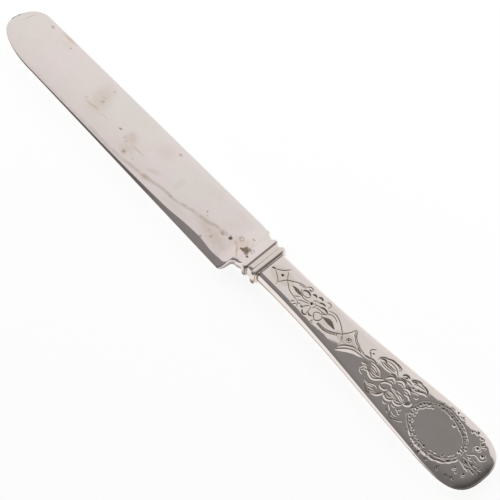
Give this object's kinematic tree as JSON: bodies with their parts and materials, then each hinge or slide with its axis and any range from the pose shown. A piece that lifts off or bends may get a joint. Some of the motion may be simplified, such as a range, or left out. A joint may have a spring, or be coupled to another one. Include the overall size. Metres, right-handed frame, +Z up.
{
  "type": "butter knife",
  "caption": "Round-ended table knife with a flat ground blade, a reeded collar and a spatulate hollow handle with an engraved face, for spreading and cutting at table.",
  "frame": {"origin": "on the table, under the middle of the knife's box", "axes": "+X along the knife toward the blade's tip, +Y across it toward the cutting edge, +Z up, out of the engraved face"},
  "size_m": [0.2104, 0.022, 0.0066],
  "materials": {
    "plated_steel": "silver plate over steel, worn bright with fine scratches and brown spots",
    "plated_iron": "silver plate over iron, with dark lines in the hollows",
    "silver": "polished silver, lightly tarnished, bright-cut on the front",
    "solder": "silver solder, filed flush",
    "resin": "dark resin cement"
  },
  "bodies": {
    "root": {"blade": "plated_steel", "bolster": "plated_iron", "collar": "silver", "front_shell": "silver", "back_shell": "silver", "seam_solder": "solder", "collar_solder": "solder", "cement": "resin"}
  },
  "joints": []
}
